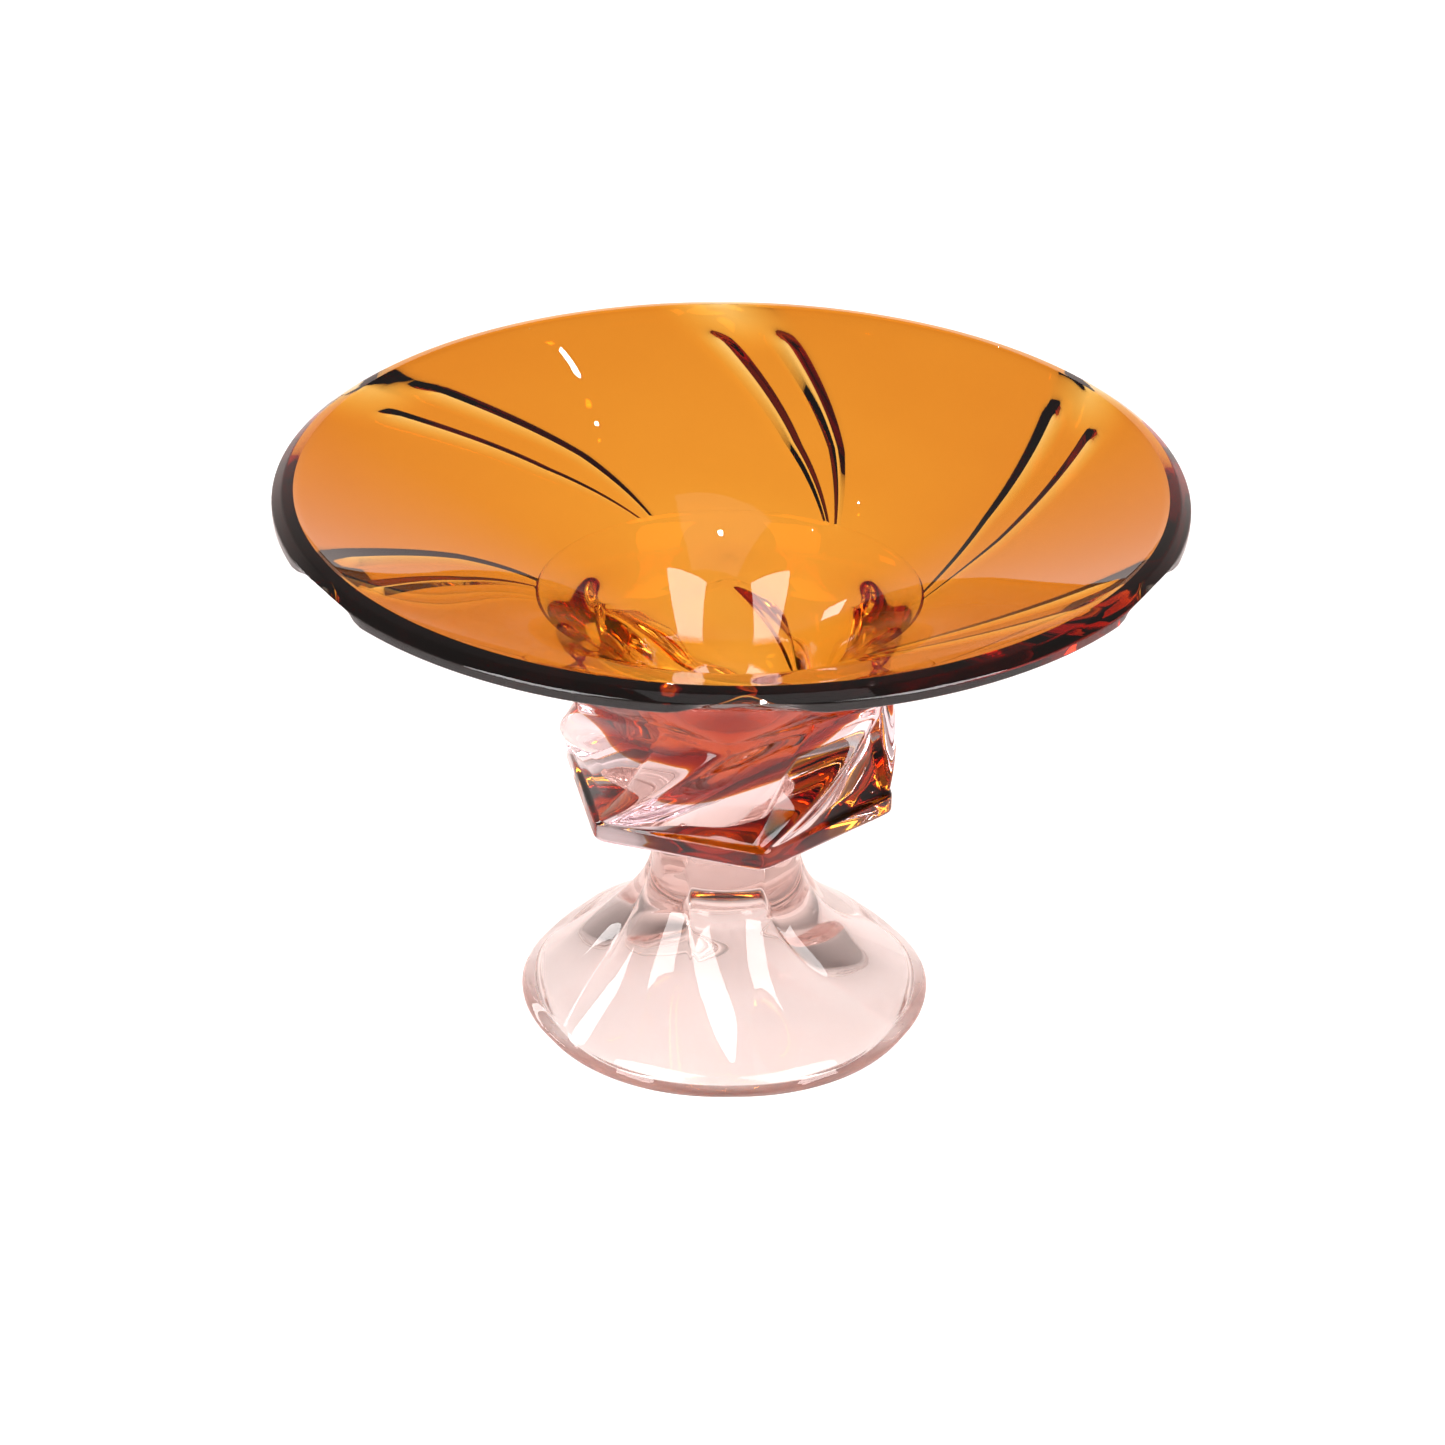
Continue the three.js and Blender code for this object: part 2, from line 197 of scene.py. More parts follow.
def rounded(corners, radii, count=6):
    """A profile whose corners are arcs, each tangent to the two straight runs that meet there."""
    corners = np.asarray(corners, float)
    rows = [corners[:1]]
    for before, here, after, radius in zip(corners, corners[1:], corners[2:], radii):
        a = (before - here) / np.linalg.norm(before - here)
        b = (after - here) / np.linalg.norm(after - here)
        half = math.acos(np.clip(a @ b, -1, 1)) / 2
        reach = radius / math.tan(half)
        middle = here + (a + b) / np.linalg.norm(a + b) * radius / math.sin(half)
        first = here + a * reach - middle
        last = here + b * reach - middle
        turn = math.acos(np.clip(first @ last / radius**2, -1, 1))
        t = np.linspace(0, 1, count + 1)[:, None]
        arc = (np.sin((1 - t) * turn) * first + np.sin(t * turn) * last) / math.sin(turn)
        rows.append(middle + arc)
    rows.append(corners[-1:])
    return np.concatenate(rows)


def even_columns(count=252):
    """Equally spaced angles round the axis."""
    return np.linspace(0, 2 * math.pi, count, endpoint=False)


def pressed_mesh(name, radius, angle, height, **vertex_values):
    """Closed mesh from three grids (stations by columns), poles first and last, faces outwards."""
    rows, columns = radius.shape
    grid = np.stack([radius * np.cos(angle), radius * np.sin(angle), height], -1)
    points = np.concatenate([grid[:1, 0], grid[1:-1].reshape(-1, 3), grid[-1:, 0]])
    column = np.arange(columns)
    after = (column + 1) % columns
    ring = 1 + np.arange(rows - 3)[:, None] * columns
    quads = np.stack(
        [ring + column, ring + after, ring + columns + after, ring + columns + column], -1
    ).reshape(-1, 4)
    top = 1 + (rows - 3) * columns
    low_fan = np.stack([np.zeros_like(column), 1 + after, 1 + column], -1)
    high_fan = np.stack([top + column, top + after, np.full_like(column, len(points) - 1)], -1)
    mesh = bpy.data.meshes.new(name)
    mesh.from_pydata(points.tolist(), [], quads.tolist() + low_fan.tolist() + high_fan.tolist())
    for key, value in vertex_values.items():
        flat = np.concatenate([value[:1, 0], value[1:-1].ravel(), value[-1:, 0]])
        layer = mesh.attributes.new(key, "FLOAT", "POINT")
        layer.data.foreach_set("value", flat.astype(np.float32))
    mesh.shade_smooth()
    mesh.validate()
    piece = bpy.data.objects.new(name, mesh)
    bpy.context.scene.collection.objects.link(piece)
    print(name, len(mesh.vertices), "points", len(mesh.polygons), "faces")
    return piece


# %% [markdown]
# ## The amber bowl's profile
#
# Inside, the bowl is smooth: a round cup that opens into a long flare. Outside, the same curve is
# moved out by the thickness of the wall, which grows a little towards the lip. The lip's polished
# face falls outwards and its underside rises outwards, so light that enters it is trapped and the
# lip looks nearly black. Its inner edge is left crisp and catches a thin line of light.

# %% Bowl profile
INSIDE_BOTTOM = CUP_BOTTOM + CUP_WALL
LIP_INNER = RIM_RADIUS - LIP_WIDTH


def bowl_inside(cup_count, flare_shares):
    """Stations of the inside: radius, height, slope and wall, from the axis out to the lip."""
    slope = np.linspace(0, CUP_SWEEP, cup_count)
    cup_r = CUP_RADIUS * np.sin(slope)
    cup_z = INSIDE_BOTTOM + CUP_RADIUS * (1 - np.cos(slope))
    start = np.array([cup_r[-1], cup_z[-1]])
    end = np.array([LIP_INNER - 0.0002, RIM_TOP - 0.0002])
    reach = np.linalg.norm(end - start) / 3
    leave = start + reach * np.array([math.cos(CUP_SWEEP), math.sin(CUP_SWEEP)])
    arrive = end - reach * np.array([math.cos(RIM_SLOPE), math.sin(RIM_SLOPE)])
    place, flare_slope = cubic([start, leave, arrive, end], flare_shares)
    wall = np.concatenate([np.full(cup_count - 1, CUP_WALL), mix(CUP_WALL, RIM_WALL, flare_shares)])
    r = np.concatenate([cup_r[:-1], place[:, 0]])
    z = np.concatenate([cup_z[:-1], place[:, 1]])
    return r, z, np.concatenate([slope[:-1], flare_slope]), wall


def outside_of(r, z, slope, wall):
    """The outside, unpressed: each station moved out along its normal by the wall."""
    return r + wall * np.sin(slope), z - wall * np.cos(slope)


dense = np.linspace(0, 1, 2001)
dense_r, dense_z, dense_slope, dense_wall = bowl_inside(2, dense)
dense_outer = outside_of(dense_r, dense_z, dense_slope, dense_wall)[0][1:]
CASING_SHARE = float(np.interp(CASING_RADIUS, dense_outer, dense[-len(dense_outer):]))
JUST = 2e-4
flare_shares = np.concatenate([
    np.linspace(0, CASING_SHARE - JUST, 30, endpoint=False),
    [CASING_SHARE - JUST, CASING_SHARE + JUST],
    np.linspace(CASING_SHARE + JUST, 1, 34)[1:],
])
in_r, in_z, in_slope, in_wall = bowl_inside(22, flare_shares)
out_r, out_z = outside_of(in_r, in_z, in_slope, in_wall)
print("casing ends at share", round(CASING_SHARE, 4), "stations", len(in_r))

# %% [markdown]
# ## Channels pressed in the outside
#
# Six channels run in from notches in the lip, leaning round the bowl as they go and closing where
# the wall enters the block. A channel is bounded by two creases, each a V-shaped valley that is
# widest out in the flare and tapers to a point. One flank of a crease is too steep for glass to be
# seen through from the front, so the crease shows as a dark blade. Columns follow the creases.

# %% Channels
def crease_share(radius):
    """How much of its full size a crease has: nothing at the block, all in the flare."""
    run = CREASE_END - CREASE_FADE - CHANNEL_START
    return np.clip((radius - CHANNEL_START) / run, 0, 1) ** 0.75


def crease_width(radius):
    """Width of a crease: a point at the block, full in the flare."""
    return CREASE_WIDTH * np.maximum(crease_share(radius), 0.06)


def crease_side(radius):
    """Distance of a crease from its channel's middle: it grows with the distance from the block."""
    spread = CHANNEL_SPREAD * (np.maximum(radius, CHANNEL_START) - CHANNEL_START)
    return np.minimum(np.maximum(spread, 0.55 * crease_width(radius) + 0.0006), radius * 0.09)


def crease_depth(radius):
    """Depth of a crease along its length."""
    fade = 1 - ease(radius, CREASE_END - CREASE_FADE, CREASE_END)
    clear_of_block = ease(radius, CASING_RADIUS - CREASE_RUN_IN, CASING_RADIUS)
    return CREASE_DEPTH * fade * crease_share(radius) * clear_of_block


def bowl_columns(radius, inside=7, across=13, outside=14):
    """Angles from a channel's middle for every sector: crowded over both creases."""
    side = crease_side(radius) / radius
    width = np.minimum(crease_width(radius) / radius, side * 1.7)
    t = np.linspace(-0.5, 0.5, across)
    crease = side + width * t
    inner_edge, outer_edge = crease[:, :1], crease[:, -1:]
    middle = inner_edge * np.linspace(0, 1, inside + 1)[1:-1]
    lobe = mix(outer_edge, PITCH / 2, np.linspace(0, 1, outside + 1)[1:])
    half = np.concatenate([middle, crease, lobe], 1)
    one = np.concatenate([-half[:, -2::-1], 0 * half[:, :1], half], 1)
    return np.concatenate([one + k * PITCH for k in range(SIDES)], 1)


def crease_valley(radius, from_middle):
    """1 in the bottom of either crease, falling in straight lines to 0 at its sides."""
    across = np.abs(np.abs(from_mark(from_middle, 0)) * radius - crease_side(radius))
    share = across / (crease_width(radius) / 2)
    return np.clip(1.04 - np.sqrt(share**2 + 0.0016), 0, 1)


def notch(radius, from_middle):
    """1 in the middle of a notch in the lip, with a slightly rounded V."""
    share = np.abs(from_mark(from_middle, 0)) * radius / NOTCH_HALF
    return np.clip(1 - np.sqrt(share**2 + 0.01) + 0.005, 0, 1)


LIP = rounded(
    [
        (out_r[-1], out_z[-1]),
        (RIM_RADIUS, RIM_TOP - LIP_DROP),
        (RIM_RADIUS, RIM_TOP - LIP_SLANT - 0.0012),
        (RIM_RADIUS - 0.0046, RIM_TOP - LIP_SLANT * 0.35),
        (LIP_INNER, RIM_TOP),
        (in_r[-1], in_z[-1]),
    ],
    radii=[0.0012, 0.0014, 0.0040, 0.0001],
)[1:-1]


def bowl_grids():
    """Radius, angle, height and contact grids of the amber bowl, from outside bottom to inside."""
    bare = np.concatenate([out_r, LIP[:, 0], in_r[::-1]])[:, None]
    bare = np.maximum(bare, 1e-6)
    steady = np.maximum(bare, 0.02)
    from_middle = bowl_columns(steady)
    angle = from_middle + NOTCH_ANGLE + leaned(bare, RIM_RADIUS, CHANNEL_LEAN)
    count = len(out_r)
    r, z, slope = out_r[:, None], out_z[:, None], in_slope[:, None]
    bite = crease_depth(r) * crease_valley(steady[:count], from_middle[:count])
    run_in = ease(r, NOTCH_START, out_r[-1])
    bite = bite + NOTCH_LIFT * run_in * notch(steady[:count], from_middle[:count])
    outer_r, outer_z = r - bite * np.sin(slope), z + bite * np.cos(slope)
    lip_r, lip_z = LIP[:, :1], LIP[:, 1:]
    low = ease(RIM_TOP - lip_z, LIP_SLANT, LIP_DROP)
    near = ease(lip_r, out_r[-1], RIM_RADIUS - 0.002)
    vee = notch(steady[count:count + len(LIP)], from_middle[count:count + len(LIP)])
    lip_pressed_r = lip_r - NOTCH_BITE * low * near * vee
    lip_pressed_z = lip_z + NOTCH_LIFT * low * near * vee
    inner_r = np.repeat(in_r[::-1, None], angle.shape[1], 1)
    inner_z = np.repeat(in_z[::-1, None], angle.shape[1], 1)
    radius = np.concatenate([outer_r, lip_pressed_r, inner_r])
    height = np.concatenate([outer_z, lip_pressed_z, inner_z])
    contact = np.zeros_like(radius)
    contact[:count][out_r < CASING_RADIUS] = 1
    return radius, angle, height, contact


bowl_r, bowl_a, bowl_z, bowl_contact = bowl_grids()
bowl = pressed_mesh("bowl_glass", bowl_r, bowl_a, bowl_z, contact=bowl_contact)
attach(bowl, "root")
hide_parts("amber_bowl")

# %% [markdown]
# ## The clear block
#
# Under the bowl the clear glass is a hexagon whose corners turn as they rise, like a stack of cards
# twisted by hand. Each corner has a step pressed behind it, so the sides overlap like the blades of
# a shutter. Where the amber wall leaves the block, the clear glass thins to a casing that follows
# the amber underneath and ends in a feather edge. Its socket follows the outside of the amber, one
# tenth of a millimetre or so clear of it, because two surfaces in the same place would flicker.

# %% Block
STEP_START = math.radians(2.5)
STEP_LAG = math.radians(24)
STEP_DEPTH = 0.0050
PANEL_LEDGE = 0.0016
PANEL_SCOOP = 0.0022
BLOCK_SHARPNESS = 46
PANEL_COLUMNS = 28
ROUND_RADIUS = 0.079
BASE_ROUND = 0.0024
UNDERSIDE_FLAT = 0.062
STEP_COLUMNS = 16

socket_count = int((out_r < CASING_RADIUS).sum())
socket_slope = in_slope[:socket_count]
socket_r = out_r[:socket_count] + FUSED_GAP * np.sin(socket_slope)
socket_z = out_z[:socket_count] - FUSED_GAP * np.cos(socket_slope)
casing_share = ease(socket_r, BLOCK_FLAT - CASING_WALL, CASING_RADIUS)
casing_wall = mix(CASING_WALL, CASING_EDGE, casing_share)
casing_r = socket_r + casing_wall * np.sin(socket_slope)
casing_z = socket_z - casing_wall * np.cos(socket_slope)
clear = casing_r > BLOCK_FLAT
casing_r, casing_z = casing_r[clear], casing_z[clear]
casing_square = 1 - ease(socket_r[clear], BLOCK_FLAT - CASING_WALL, ROUND_RADIUS)

print("socket stations", socket_count, "casing stations", len(casing_r))

# %% [markdown]
# ## The block's sides
#
# The side is a hexagon written as a sum of powers of cosines, which rounds its corners a little.
# The hexagon turns with height. A step behind each corner falls away over the panel and climbs back
# steeply, and each panel is scooped, as a cooling face of pressed glass is.

# %% Block outline
TWIST_BOTTOM = BLOCK_BOTTOM + BLOCK_PLINTH
TWIST_TOP = casing_z[0] - BLOCK_PLINTH / 2


def corner_and_lag(z):
    """Direction of the first corner at a height, and how far behind it the step lies."""
    rise = np.clip((z - TWIST_BOTTOM) / (TWIST_TOP - TWIST_BOTTOM), 0, 1)
    return BLOCK_CORNER + BLOCK_TWIST * rise, STEP_START + STEP_LAG * rise, rise


def block_columns(z):
    """Angles of the block's columns: a corner, the panel after it, then the next step's face."""
    corner, lag, _ = corner_and_lag(z)
    panel = np.linspace(0, 1, PANEL_COLUMNS, endpoint=False) * (PITCH - lag)
    face = PITCH - lag + np.linspace(0, 1, STEP_COLUMNS, endpoint=False) * lag
    one = corner + np.concatenate([panel, face], 1)
    return np.concatenate([one + k * PITCH for k in range(SIDES)], 1)


def block_side(flat, z, angle):
    """Side of the block: a hexagon turned by height, its panels scooped and its corners stepped."""
    corner, lag, rise = corner_and_lag(z)
    past = np.mod(angle - corner + 1e-9, PITCH)
    fall = np.clip(past / (PITCH - lag), 0, 1)
    climb = np.clip((past - PITCH + lag) / lag, 0, 1)
    step = STEP_DEPTH * np.minimum(1, 3 * rise) * fall**2.2 * (1 - climb) ** 1.6
    scoop = PANEL_SCOOP * np.sin(fall * math.pi) ** 2 * np.minimum(1, 8 * rise)
    fade = 1 - ease(z, TWIST_TOP - BLOCK_PLINTH * 1.5, TWIST_TOP + BLOCK_PLINTH)
    ledge = PANEL_LEDGE * ease(z, TWIST_BOTTOM - 0.0005, TWIST_BOTTOM + 0.002)
    facing = corner[..., None] + (np.arange(SIDES) + 0.5) * PITCH
    cosines = np.maximum(0, np.cos(angle[..., None] - facing))
    outline = flat * (cosines**BLOCK_SHARPNESS).sum(-1) ** (-1 / BLOCK_SHARPNESS)
    return outline - fade * (ledge + step + scoop)


# %% [markdown]
# ## The block's grid
#
# One grid runs from the middle of the underside, up the side, over the casing to its feather edge
# and back down the socket. A share called square blends each row from round to six-sided.

# %% Block piece
def block_grids():
    """Grids of the block from the middle of its underside, up its side and back down the socket."""
    side_z = np.concatenate([
        [BLOCK_BOTTOM + 0.0028, BLOCK_BOTTOM + 0.005],
        np.linspace(TWIST_BOTTOM - 0.0005, TWIST_BOTTOM + 0.0025, 7),
        np.linspace(TWIST_BOTTOM + 0.0025, casing_z[0] - 0.001, 64)[1:],
    ])
    base = rounded(
        [(BOND_RADIUS, BLOCK_BOTTOM), (BLOCK_FLAT, BLOCK_BOTTOM),
         (BLOCK_FLAT, BLOCK_BOTTOM + 0.01)],
        radii=[BASE_ROUND],
    )[1:-1]
    under_r = np.concatenate([
        np.linspace(0, BOND_RADIUS - 1e-5, 6),
        np.linspace(BOND_RADIUS + 1e-5, UNDERSIDE_FLAT, 8),
    ])
    edge_r = np.array([socket_r[-1] + CASING_EDGE * 0.7])
    edge_z = np.array([socket_z[-1] - CASING_EDGE * 0.2])
    r = np.concatenate([under_r, base[:, 0], np.full(len(side_z), BLOCK_FLAT), casing_r, edge_r])
    z = np.concatenate([np.full(len(under_r), BLOCK_BOTTOM), base[:, 1], side_z, casing_z, edge_z])
    square = np.concatenate([
        ease(under_r, BOND_RADIUS, UNDERSIDE_FLAT), np.ones(len(base) + len(side_z)),
        casing_square, [0],
    ])
    angle = block_columns(z[:, None])
    outline = block_side(np.maximum(r, 1e-4)[:, None], z[:, None], angle)
    radius = mix(r[:, None], outline, square[:, None])
    height = np.repeat(z[:, None], angle.shape[1], 1)
    socket = np.ones((len(socket_r), angle.shape[1]))
    radius = np.concatenate([radius, socket_r[::-1, None] * socket])
    height = np.concatenate([height, socket_z[::-1, None] * socket])
    angle = np.concatenate([angle, angle[-1:] * socket])
    contact = np.zeros_like(radius)
    contact[: len(under_r)][under_r < BOND_RADIUS] = 1
    contact[-len(socket_r):] = 1
    return radius, angle, height, contact


block_r, block_a, block_z, block_contact = block_grids()
block = pressed_mesh("block_glass", block_r, block_a, block_z, contact=block_contact)
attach(block, "root")
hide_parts("crystal_block")

# %% [markdown]
# ## The foot
#
# The foot is a bell of clear glass. Six grooves lean round it and cut its edge into soft lobes, and
# they fade up into flutes on the neck. It is hollow underneath and stands on a narrow ground ring.

# %% Foot
columns = even_columns()


def foot_groove(share):
    """1 in the bottom of a groove, falling to 0 at the crest of a lobe, with a soft bottom."""
    return np.clip(1 - np.sqrt(share**2 + 0.0025), 0, 1) ** 1.8


def foot_grids():
    """Grids of the foot from the middle of its hollow, round the edge and up to the neck's top."""
    ring_inside = FOOT_RADIUS - CONTACT_WIDTH * 2
    crown = np.linspace(0, math.pi / 2, 12)[:-1]
    cap_r = HOLLOW_NECK * np.sin(crown)
    cap_z = HOLLOW_TOP - HOLLOW_CAP * (1 - np.cos(crown))
    under, _ = cubic(
        [(HOLLOW_NECK, HOLLOW_TOP - HOLLOW_CAP), (HOLLOW_NECK + 0.003, 0.034), (0.052, 0.0215),
         (ring_inside - 0.002, 0.003)], np.linspace(0, 1, 44)
    )
    hollow_r = np.concatenate([cap_r, under[:, 0]])
    hollow_z = np.concatenate([cap_z, under[:, 1]])
    neck = (NECK_RADIUS, FOOT_TOP * 0.72)
    turn = (NECK_RADIUS, FOOT_TOP * 0.45)
    spread = (FOOT_RADIUS * 0.62, FOOT_EDGE + FOOT_WALL * 3.1)
    brim = (FOOT_RADIUS - 0.002, FOOT_EDGE)
    flank, _ = cubic([brim, spread, turn, neck], np.linspace(0, 1, 80))
    edge = rounded(
        [(hollow_r[-1], hollow_z[-1]), (ring_inside, 0), (FOOT_RADIUS - 0.0012, 0),
         (FOOT_RADIUS, FOOT_EDGE * 0.5), (FOOT_RADIUS - 0.002, FOOT_EDGE),
         (FOOT_RADIUS - 0.004, FOOT_EDGE + 0.001)],
        radii=[0.001, 0.0012, 0.004, 0.0008],
    )[1:-1]
    neck_z = np.linspace(neck[1], FOOT_TOP - 0.0006, 14)[1:]
    top_r = np.array([NECK_RADIUS - 0.0006, BOND_RADIUS + 1e-5, BOND_RADIUS - 1e-5, 0.02, 0.01, 0])
    neck_r = np.full(len(neck_z), NECK_RADIUS)
    top_z = np.full(len(top_r), FOOT_TOP)
    r = np.concatenate([hollow_r, edge[:, 0], flank[1:, 0], neck_r, top_r])
    z = np.concatenate([hollow_z, edge[:, 1], flank[1:, 1], neck_z, top_z])
    lobe = np.zeros(len(r))
    start, end = len(hollow_r) + len(edge), len(r) - len(top_r)
    lobe[start:end] = mix(0.28, 1, ease(r[start:end], NECK_RADIUS, 0.066)) * (
        1 - 0.6 * ease(z[start:end], FOOT_TOP * 0.8, FOOT_TOP))
    lobe[: len(hollow_r)] = 0.55 * ease(hollow_r, 0.012, 0.05) * (1 - ease(hollow_r, 0.070, 0.082))
    low = slice(len(hollow_r), start)
    lobe[low] = mix(0.15, 0.98, ease(z[low], 0.002, FOOT_EDGE)) * (r[low] > ring_inside + 0.004)
    angle = columns[None, :] + NOTCH_ANGLE + leaned(r[:, None], FOOT_RADIUS, FOOT_LEAN)
    share = np.abs(from_mark(columns, 0)) / (PITCH / 2)
    push = FOOT_LOBE * lobe[:, None] * foot_groove(share)[None, :]
    radius = r[:, None] - push
    height = np.repeat(z[:, None], len(columns), 1)
    contact = np.zeros_like(radius)
    contact[-4:] = 1
    return radius, angle, height, contact


foot_r, foot_a, foot_z, foot_contact = foot_grids()
foot = pressed_mesh("foot_glass", foot_r, foot_a, foot_z, contact=foot_contact)
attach(foot, "root")
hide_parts("crystal_foot")

# %% [markdown]
# ## The adhesive film
#
# The foot is bonded to the block with a clear film as thin as paper. It is a plain disc, but its
# edge is drawn in a little, as adhesive is when it cures between two polished faces.

# %% Film
def film_grids():
    """Grids of the bonded film, with a concave edge."""
    t = np.linspace(0, 1, 9)
    edge_r = BOND_RADIUS - 0.0003 * np.sin(t * math.pi)
    flat = np.linspace(0, BOND_RADIUS, 6)
    r = np.concatenate([flat, edge_r[1:-1], flat[::-1]])
    z = np.concatenate([
        np.full(6, film_low.z + 5e-5), mix(film_low.z + 5e-5, film_high.z - 5e-5, t)[1:-1],
        np.full(6, film_high.z - 5e-5),
    ])
    radius = np.repeat(r[:, None], len(columns), 1)
    height = np.repeat(z[:, None], len(columns), 1)
    contact = np.ones_like(radius)
    contact[6:-6] = 0
    return radius, np.repeat(columns[None, :], len(r), 0), height, contact


film_r, film_a, film_z, film_contact = film_grids()
film = pressed_mesh("film_adhesive", film_r, film_a, film_z, contact=film_contact)
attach(film, "root")
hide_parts("bond_film")

# %% [markdown]
# ## Glass
#
# The colour of glass is in its body, not on its surface: a plain Volume Absorption darkens light by
# the distance that it travels inside, which is why the lip, seen end on, is nearly black while the
# wall is honey. The surface is a Principled shader with full transmission.
#
# Where two glasses are fused or bonded there is no surface to see. A value on each point, contact,
# is 1 there, and brings the refractive index to 1, so light goes straight on into the next piece.

# %% Glass materials
GLASS_INDEX = 1.52
FUSED_INDEX = 1.0


def new_material(name):
    """An empty material with its Principled shader and output."""
    material = bpy.data.materials.new(name)
    material.use_nodes = True
    tree = material.node_tree
    tree.nodes.clear()
    output = tree.nodes.new("ShaderNodeOutputMaterial")
    shader = tree.nodes.new("ShaderNodeBsdfPrincipled")
    tree.links.new(shader.outputs["BSDF"], output.inputs["Surface"])
    return material, tree, shader, output


def effect(name, inputs, output):
    """A node group with named number inputs and one number output, and its two end nodes."""
    group = bpy.data.node_groups.new(name, "ShaderNodeTree")
    for label, start in inputs.items():
        socket = group.interface.new_socket(label, in_out="INPUT", socket_type="NodeSocketFloat")
        socket.default_value = start
    group.interface.new_socket(output, in_out="OUTPUT", socket_type="NodeSocketFloat")
    return group, group.nodes.new("NodeGroupInput"), group.nodes.new("NodeGroupOutput")


def math_node(tree, operation, first, second):
    """The result socket of a Math node; either side may be a socket or a number."""
    node = tree.nodes.new("ShaderNodeMath")
    node.operation = operation
    for socket, value in zip(node.inputs, (first, second)):
        if isinstance(value, (int, float)):
            socket.default_value = value
        else:
            tree.links.new(value, socket)
    return node.outputs["Value"]


def noise_in(tree, scale, detail=2.0):
    """Noise on Object coordinates; the scale may be a number or a socket."""
    place = tree.nodes.new("ShaderNodeTexCoord")
    noise = tree.nodes.new("ShaderNodeTexNoise")
    tree.links.new(place.outputs["Object"], noise.inputs["Vector"])
    if isinstance(scale, (int, float)):
        noise.inputs["Scale"].default_value = scale
    else:
        tree.links.new(scale, noise.inputs["Scale"])
    noise.inputs["Detail"].default_value = detail
    return noise.outputs["Fac"]


def stretch(tree, value, low, high):
    """0 at low, 1 at high, and an eased curve between."""
    node = tree.nodes.new("ShaderNodeMapRange")
    node.interpolation_type = "SMOOTHSTEP"
    node.inputs["From Min"].default_value = low
    node.inputs["From Max"].default_value = high
    tree.links.new(value, node.inputs["Value"])
    return node.outputs["Result"]


# %% [markdown]
# ## What pressed and polished glass shows close to
#
# Four things mark real glass of this kind. The mould leaves slow waves, about a tenth of a
# millimetre high. The melt holds a few seeds, bubbles finer than a pin's head, that leave pits
# where they reach the surface. Hands leave faint patches that dull the polish. And the melt is
# never quite even, so cords of richer colour lie in it. Each is a node group, so that all the
# pieces share it, with numbers of their own.

# %% Shared effects
def mould_waves():
    """Height in metres: slow noise less its middle, times the wave's height."""
    inputs = {"Waves per Metre": 16.0, "Wave Height": 1e-4}
    group, given, result = effect("mould_waves", inputs, "Height")
    wave = noise_in(group, given.outputs["Waves per Metre"], 1.5)
    centred = math_node(group, "SUBTRACT", wave, 0.5)
    height = math_node(group, "MULTIPLY", centred, given.outputs["Wave Height"])
    group.links.new(height, result.inputs["Height"])
    return group


def seed_pits():
    """Depth in metres: round pits in a few cells of a scatter, nothing elsewhere."""
    inputs = {"Cells per Metre": 120.0, "Pit Depth": 1e-4}
    group, given, result = effect("seed_pits", inputs, "Height")
    place = group.nodes.new("ShaderNodeTexCoord")
    cells = group.nodes.new("ShaderNodeTexVoronoi")
    group.links.new(place.outputs["Object"], cells.inputs["Vector"])
    group.links.new(given.outputs["Cells per Metre"], cells.inputs["Scale"])
    pit = math_node(group, "SUBTRACT", 1.0, stretch(group, cells.outputs["Distance"], 0.01, 0.05))
    chosen = group.nodes.new("ShaderNodeSeparateColor")
    group.links.new(cells.outputs["Color"], chosen.inputs["Color"])
    few = math_node(group, "GREATER_THAN", chosen.outputs["Red"], 0.93)
    chosen_pit = math_node(group, "MULTIPLY", pit, few)
    depth = math_node(group, "MULTIPLY", chosen_pit, given.outputs["Pit Depth"])
    group.links.new(math_node(group, "MULTIPLY", depth, -1.0), result.inputs["Height"])
    return group


def handling_haze():
    """Roughness: patches of slow noise broken up by fine noise, times the haze's strength."""
    inputs = {"Patches per Metre": 11.0, "Haze": 0.02}
    group, given, result = effect("handling_haze", inputs, "Roughness")
    patch = stretch(group, noise_in(group, given.outputs["Patches per Metre"], 3.0), 0.55, 0.72)
    smear = noise_in(group, 260.0, 2.0)
    broken = math_node(group, "MULTIPLY", patch, smear)
    haze = math_node(group, "MULTIPLY", broken, given.outputs["Haze"])
    group.links.new(haze, result.inputs["Roughness"])
    return group


def melt_cords():
    """0 to 1: long soft streaks that lie round the axis, where the melt was richer in colour."""
    group, given, result = effect("melt_cords", {"Cords per Metre": 9.0}, "Richness")
    place = group.nodes.new("ShaderNodeTexCoord")
    flat = group.nodes.new("ShaderNodeMapping")
    flat.inputs["Scale"].default_value = (1, 1, 4)
    noise = group.nodes.new("ShaderNodeTexNoise")
    group.links.new(place.outputs["Object"], flat.inputs["Vector"])
    group.links.new(flat.outputs["Vector"], noise.inputs["Vector"])
    group.links.new(given.outputs["Cords per Metre"], noise.inputs["Scale"])
    group.links.new(stretch(group, noise.outputs["Fac"], 0.35, 0.75), result.inputs["Richness"])
    return group


WAVES, PITS, HAZE, CORDS = mould_waves(), seed_pits(), handling_haze(), melt_cords()
print("effects", [group.name for group in bpy.data.node_groups])

# %% [markdown]
# ## The glass itself
#
# A glass has its own body colour and its own strength of each effect. The foot stands on a ring
# that is ground, not polished, so it is rough in the last half millimetre above the table.

# %% Glass recipe
GROUND_HEIGHT = 0.0004
GROUND_ROUGHNESS = 0.38


